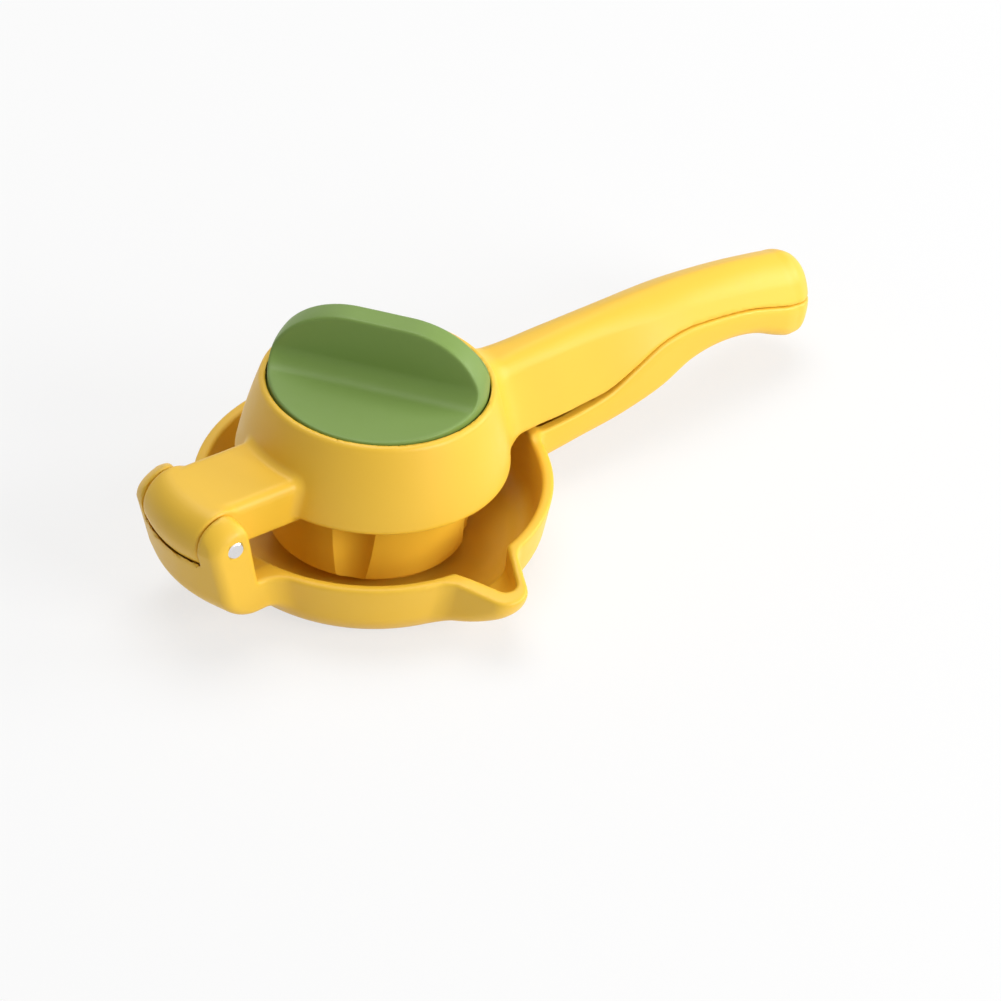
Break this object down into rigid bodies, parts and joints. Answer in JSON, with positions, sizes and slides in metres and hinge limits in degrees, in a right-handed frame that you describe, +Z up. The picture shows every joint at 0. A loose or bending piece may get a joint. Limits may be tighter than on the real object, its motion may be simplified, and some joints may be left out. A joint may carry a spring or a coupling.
{
  "type": "citrus press",
  "caption": "Hand citrus press: a bowl with a pouring lip and split grip, hinged to a collar whose green finger-bar knob turns a fluted reamer on the fruit.",
  "frame": {"origin": "middle of the bowl's flat foot, on the surface that the press stands on", "axes": "+Z up, +X along the grip to its end, hinge on -X, pouring lip on -Y"},
  "size_m": [0.23, 0.115, 0.074],
  "materials": {
    "yellow_plastic": "satin moulded yellow",
    "green_plastic": "satin moulded sage green",
    "bearing_plastic": "natural white, smooth",
    "steel": "ground stainless"
  },
  "bodies": {
    "lower": {"lower_lever": "yellow_plastic", "hinge_pin": "steel"},
    "upper": {"upper_lever": "yellow_plastic", "bearing_bush": "bearing_plastic"},
    "press_head": {"press_knob": "green_plastic", "knob_washer": "bearing_plastic", "reamer_washer": "bearing_plastic", "reamer": "yellow_plastic", "reamer_screw": "steel", "screw_washer": "steel", "reamer_cap": "yellow_plastic"}
  },
  "joints": [
    {"name": "lever_hinge", "type": "hinge", "parent": "lower", "child": "upper", "pos_m": [-0.06, 0, 0.0355], "axis": [0, -1, 0], "range_deg": [0, 115]},
    {"name": "knob_turn", "type": "hinge", "parent": "upper", "child": "press_head", "pos_m": [0.00066, 0, 0.04279], "axis": [0.0698, 0, 0.9976], "continuous": true}
  ]
}
